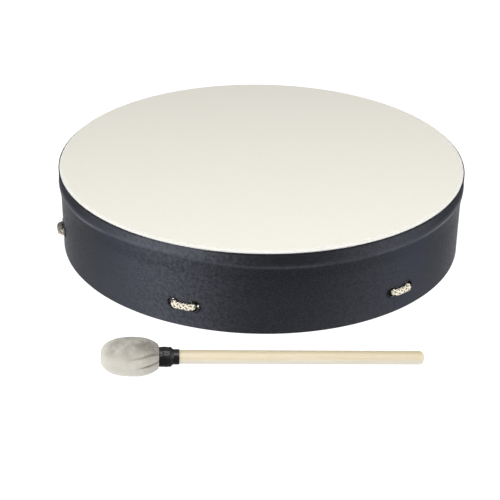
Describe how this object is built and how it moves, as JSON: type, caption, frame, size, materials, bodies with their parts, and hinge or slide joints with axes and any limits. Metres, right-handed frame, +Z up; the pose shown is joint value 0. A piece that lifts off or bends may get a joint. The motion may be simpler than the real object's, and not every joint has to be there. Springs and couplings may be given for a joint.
{
  "type": "buffalo drum",
  "caption": "Shallow round frame drum with a flat film head, a dark cloth-covered shell, rope lacing that meets in a hand-hold ring at the open back, and a suede-headed mallet.",
  "frame": {"origin": "centre of the open lower rim of the shell, on the table", "axes": "+Z up through the playing face, -Y towards the mallet, +X along the mallet towards its butt"},
  "size_m": [0.4134, 0.4937, 0.086],
  "materials": {
    "fibre_hoop": "raw wood fibre",
    "cloth_wrap": "coated cloth, satin",
    "head_film": "matte",
    "braided_rope": "braided, flecked",
    "eyelet_metal": "black",
    "handle_wood": "satin",
    "felt_core": "felt",
    "suede_cover": "suede",
    "black_tape": "wound tape"
  },
  "bodies": {
    "drum": {"shell_hoop": "fibre_hoop", "shell_wrap": "cloth_wrap", "drumhead": "head_film", "rope_eyelets": "eyelet_metal", "rope_lacing_1": "braided_rope", "rope_lacing_2": "braided_rope", "rope_lacing_3": "braided_rope", "rope_lacing_4": "braided_rope", "rope_lacing_5": "braided_rope", "rope_lacing_6": "braided_rope", "rope_ring": "braided_rope"},
    "mallet": {"mallet_handle": "handle_wood", "mallet_core": "felt_core", "mallet_cover": "suede_cover", "mallet_tape": "black_tape"}
  },
  "joints": [
    {"name": "mallet_lift", "type": "slide", "parent": "drum", "child": "mallet", "axis": [0, 0, 1], "range_m": [0, 0.25]}
  ]
}
